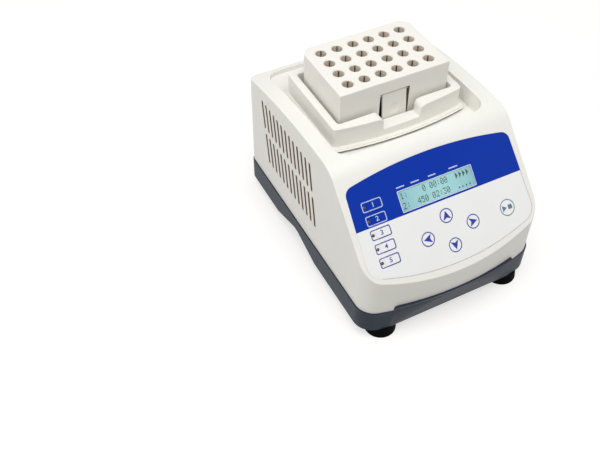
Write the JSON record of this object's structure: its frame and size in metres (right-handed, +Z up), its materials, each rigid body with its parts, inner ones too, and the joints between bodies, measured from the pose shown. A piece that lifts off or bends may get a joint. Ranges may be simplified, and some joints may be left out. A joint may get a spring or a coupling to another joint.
{
  "type": "block and microplate mixer",
  "caption": "Desk-top laboratory mixer with a sloped key panel and a tray that orbits in a deck pocket, carrying a lift-out block for small tubes.",
  "frame": {"origin": "on the table, below the middle of the footprint", "axes": "+X to the machine's right seen from the front, +Y to the rear, +Z up"},
  "size_m": [0.2018, 0.273, 0.2],
  "materials": {
    "housing_plastic": "fine matte moulding",
    "base_plastic": "fine matte moulding",
    "foot_rubber": "matte",
    "screw_steel": "plated",
    "panel_film": "satin printed film",
    "window_clear": "clear",
    "display_glass": "satin",
    "circuit_board": "solder mask",
    "black_plastic": "moulded",
    "lamp_amber": "tinted clear",
    "key_film": "satin printed film",
    "rocker_red": "moulded",
    "brass": "turned",
    "plate_steel": "zinc plated",
    "motor_steel": "satin",
    "turned_steel": "turned",
    "platform_aluminium": "cast",
    "tray_plastic": "fine matte moulding",
    "block_plastic": "fine matte moulding",
    "latch_plastic": "fine matte moulding"
  },
  "bodies": {
    "housing": {"upper_housing": "housing_plastic", "base_shell": "base_plastic", "rubber_feet": "foot_rubber", "foot_screws": "screw_steel", "housing_screws": "screw_steel", "panel_overlay": "panel_film", "display_window": "window_clear", "lcd_module": "display_glass", "keypad_board": "circuit_board", "tact_switches": "black_plastic", "indicator_leds": "lamp_amber", "panel_screws": "screw_steel", "control_board": "circuit_board", "power_supply_board": "circuit_board", "board_standoffs": "brass", "board_screws": "screw_steel", "power_inlet": "black_plastic", "power_switch_body": "black_plastic", "chassis_plate": "plate_steel", "chassis_screws": "screw_steel", "motor": "motor_steel", "motor_screws": "screw_steel", "idler_bushes": "brass"},
    "crank": {"drive_crank": "turned_steel", "crank_set_screw": "screw_steel", "counterweight": "brass", "motor_shaft": "turned_steel"},
    "tray": {"platform_plate": "platform_aluminium", "shaker_tray": "tray_plastic", "tray_screws": "screw_steel", "drive_bearing": "turned_steel", "idler_bearings": "turned_steel"},
    "block": {"tube_block": "block_plastic", "latch_pin": "turned_steel"},
    "latch": {"block_latch": "latch_plastic"},
    "rocker": {"power_rocker": "rocker_red"},
    "idler_1": {"idler_crank_1": "turned_steel"},
    "idler_2": {"idler_crank_2": "turned_steel"},
    "idler_3": {"idler_crank_3": "turned_steel"},
    "idler_4": {"idler_crank_4": "turned_steel"},
    "key_up": {"key_up": "key_film"},
    "key_down": {"key_down": "key_film"},
    "key_left": {"key_left": "key_film"},
    "key_right": {"key_right": "key_film"},
    "key_start": {"key_start": "key_film"},
    "key_preset_1": {"key_preset_1": "key_film"},
    "key_preset_2": {"key_preset_2": "key_film"},
    "key_preset_3": {"key_preset_3": "key_film"},
    "key_preset_4": {"key_preset_4": "key_film"},
    "key_preset_5": {"key_preset_5": "key_film"}
  },
  "joints": [
    {"name": "crank_spin", "type": "hinge", "parent": "housing", "child": "crank", "pos_m": [0, 0.0488, 0.125], "axis": [0, 0, 1], "continuous": true},
    {"name": "tray_orbit", "type": "hinge", "parent": "crank", "child": "tray", "pos_m": [0, 0.0473, 0.1395], "axis": [0, 0, 1], "continuous": true},
    {"name": "idler_1_spin", "type": "hinge", "parent": "housing", "child": "idler_1", "pos_m": [-0.044, 0.0268, 0.12], "axis": [0, 0, 1], "continuous": true},
    {"name": "idler_2_spin", "type": "hinge", "parent": "housing", "child": "idler_2", "pos_m": [-0.044, 0.0708, 0.12], "axis": [0, 0, 1], "continuous": true},
    {"name": "idler_3_spin", "type": "hinge", "parent": "housing", "child": "idler_3", "pos_m": [0.044, 0.0268, 0.12], "axis": [0, 0, 1], "continuous": true},
    {"name": "idler_4_spin", "type": "hinge", "parent": "housing", "child": "idler_4", "pos_m": [0.044, 0.0708, 0.12], "axis": [0, 0, 1], "continuous": true},
    {"name": "block_lift", "type": "slide", "parent": "tray", "child": "block", "axis": [0, 0, 1], "range_m": [0, 0.09]},
    {"name": "latch_press", "type": "hinge", "parent": "block", "child": "latch", "pos_m": [0, 0.0109, 0.1822], "axis": [1, 0, 0], "range_deg": [0, 8], "stiffness_Nm_per_rad": 0.02, "springref_deg": -5.73},
    {"name": "rocker_tilt", "type": "hinge", "parent": "housing", "child": "rocker", "pos_m": [0.01, 0.1315, 0.08], "axis": [1, 0, 0], "range_deg": [0, 20]},
    {"name": "key_up_press", "type": "slide", "parent": "housing", "child": "key_up", "axis": [0, 0.7071, -0.7071], "range_m": [0, 0.0004], "stiffness_N_per_m": 400, "springref_m": -0.0008},
    {"name": "key_down_press", "type": "slide", "parent": "housing", "child": "key_down", "axis": [0, 0.7071, -0.7071], "range_m": [0, 0.0004], "stiffness_N_per_m": 400, "springref_m": -0.0008},
    {"name": "key_left_press", "type": "slide", "parent": "housing", "child": "key_left", "axis": [0, 0.7071, -0.7071], "range_m": [0, 0.0004], "stiffness_N_per_m": 400, "springref_m": -0.0008},
    {"name": "key_right_press", "type": "slide", "parent": "housing", "child": "key_right", "axis": [0, 0.7071, -0.7071], "range_m": [0, 0.0004], "stiffness_N_per_m": 400, "springref_m": -0.0008},
    {"name": "key_start_press", "type": "slide", "parent": "housing", "child": "key_start", "axis": [0, 0.7071, -0.7071], "range_m": [0, 0.0004], "stiffness_N_per_m": 400, "springref_m": -0.0008},
    {"name": "key_preset_1_press", "type": "slide", "parent": "housing", "child": "key_preset_1", "axis": [0, 0.7071, -0.7071], "range_m": [0, 0.0004], "stiffness_N_per_m": 400, "springref_m": -0.0008},
    {"name": "key_preset_2_press", "type": "slide", "parent": "housing", "child": "key_preset_2", "axis": [0, 0.7071, -0.7071], "range_m": [0, 0.0004], "stiffness_N_per_m": 400, "springref_m": -0.0008},
    {"name": "key_preset_3_press", "type": "slide", "parent": "housing", "child": "key_preset_3", "axis": [0, 0.7071, -0.7071], "range_m": [0, 0.0004], "stiffness_N_per_m": 400, "springref_m": -0.0008},
    {"name": "key_preset_4_press", "type": "slide", "parent": "housing", "child": "key_preset_4", "axis": [0, 0.7071, -0.7071], "range_m": [0, 0.0004], "stiffness_N_per_m": 400, "springref_m": -0.0008},
    {"name": "key_preset_5_press", "type": "slide", "parent": "housing", "child": "key_preset_5", "axis": [0, 0.7071, -0.7071], "range_m": [0, 0.0004], "stiffness_N_per_m": 400, "springref_m": -0.0008}
  ],
  "couplings": [
    {"joint": "tray_orbit", "follows": "crank_spin", "ratio": -1},
    {"joint": "idler_1_spin", "follows": "crank_spin", "ratio": 1},
    {"joint": "idler_2_spin", "follows": "crank_spin", "ratio": 1},
    {"joint": "idler_3_spin", "follows": "crank_spin", "ratio": 1},
    {"joint": "idler_4_spin", "follows": "crank_spin", "ratio": 1}
  ]
}
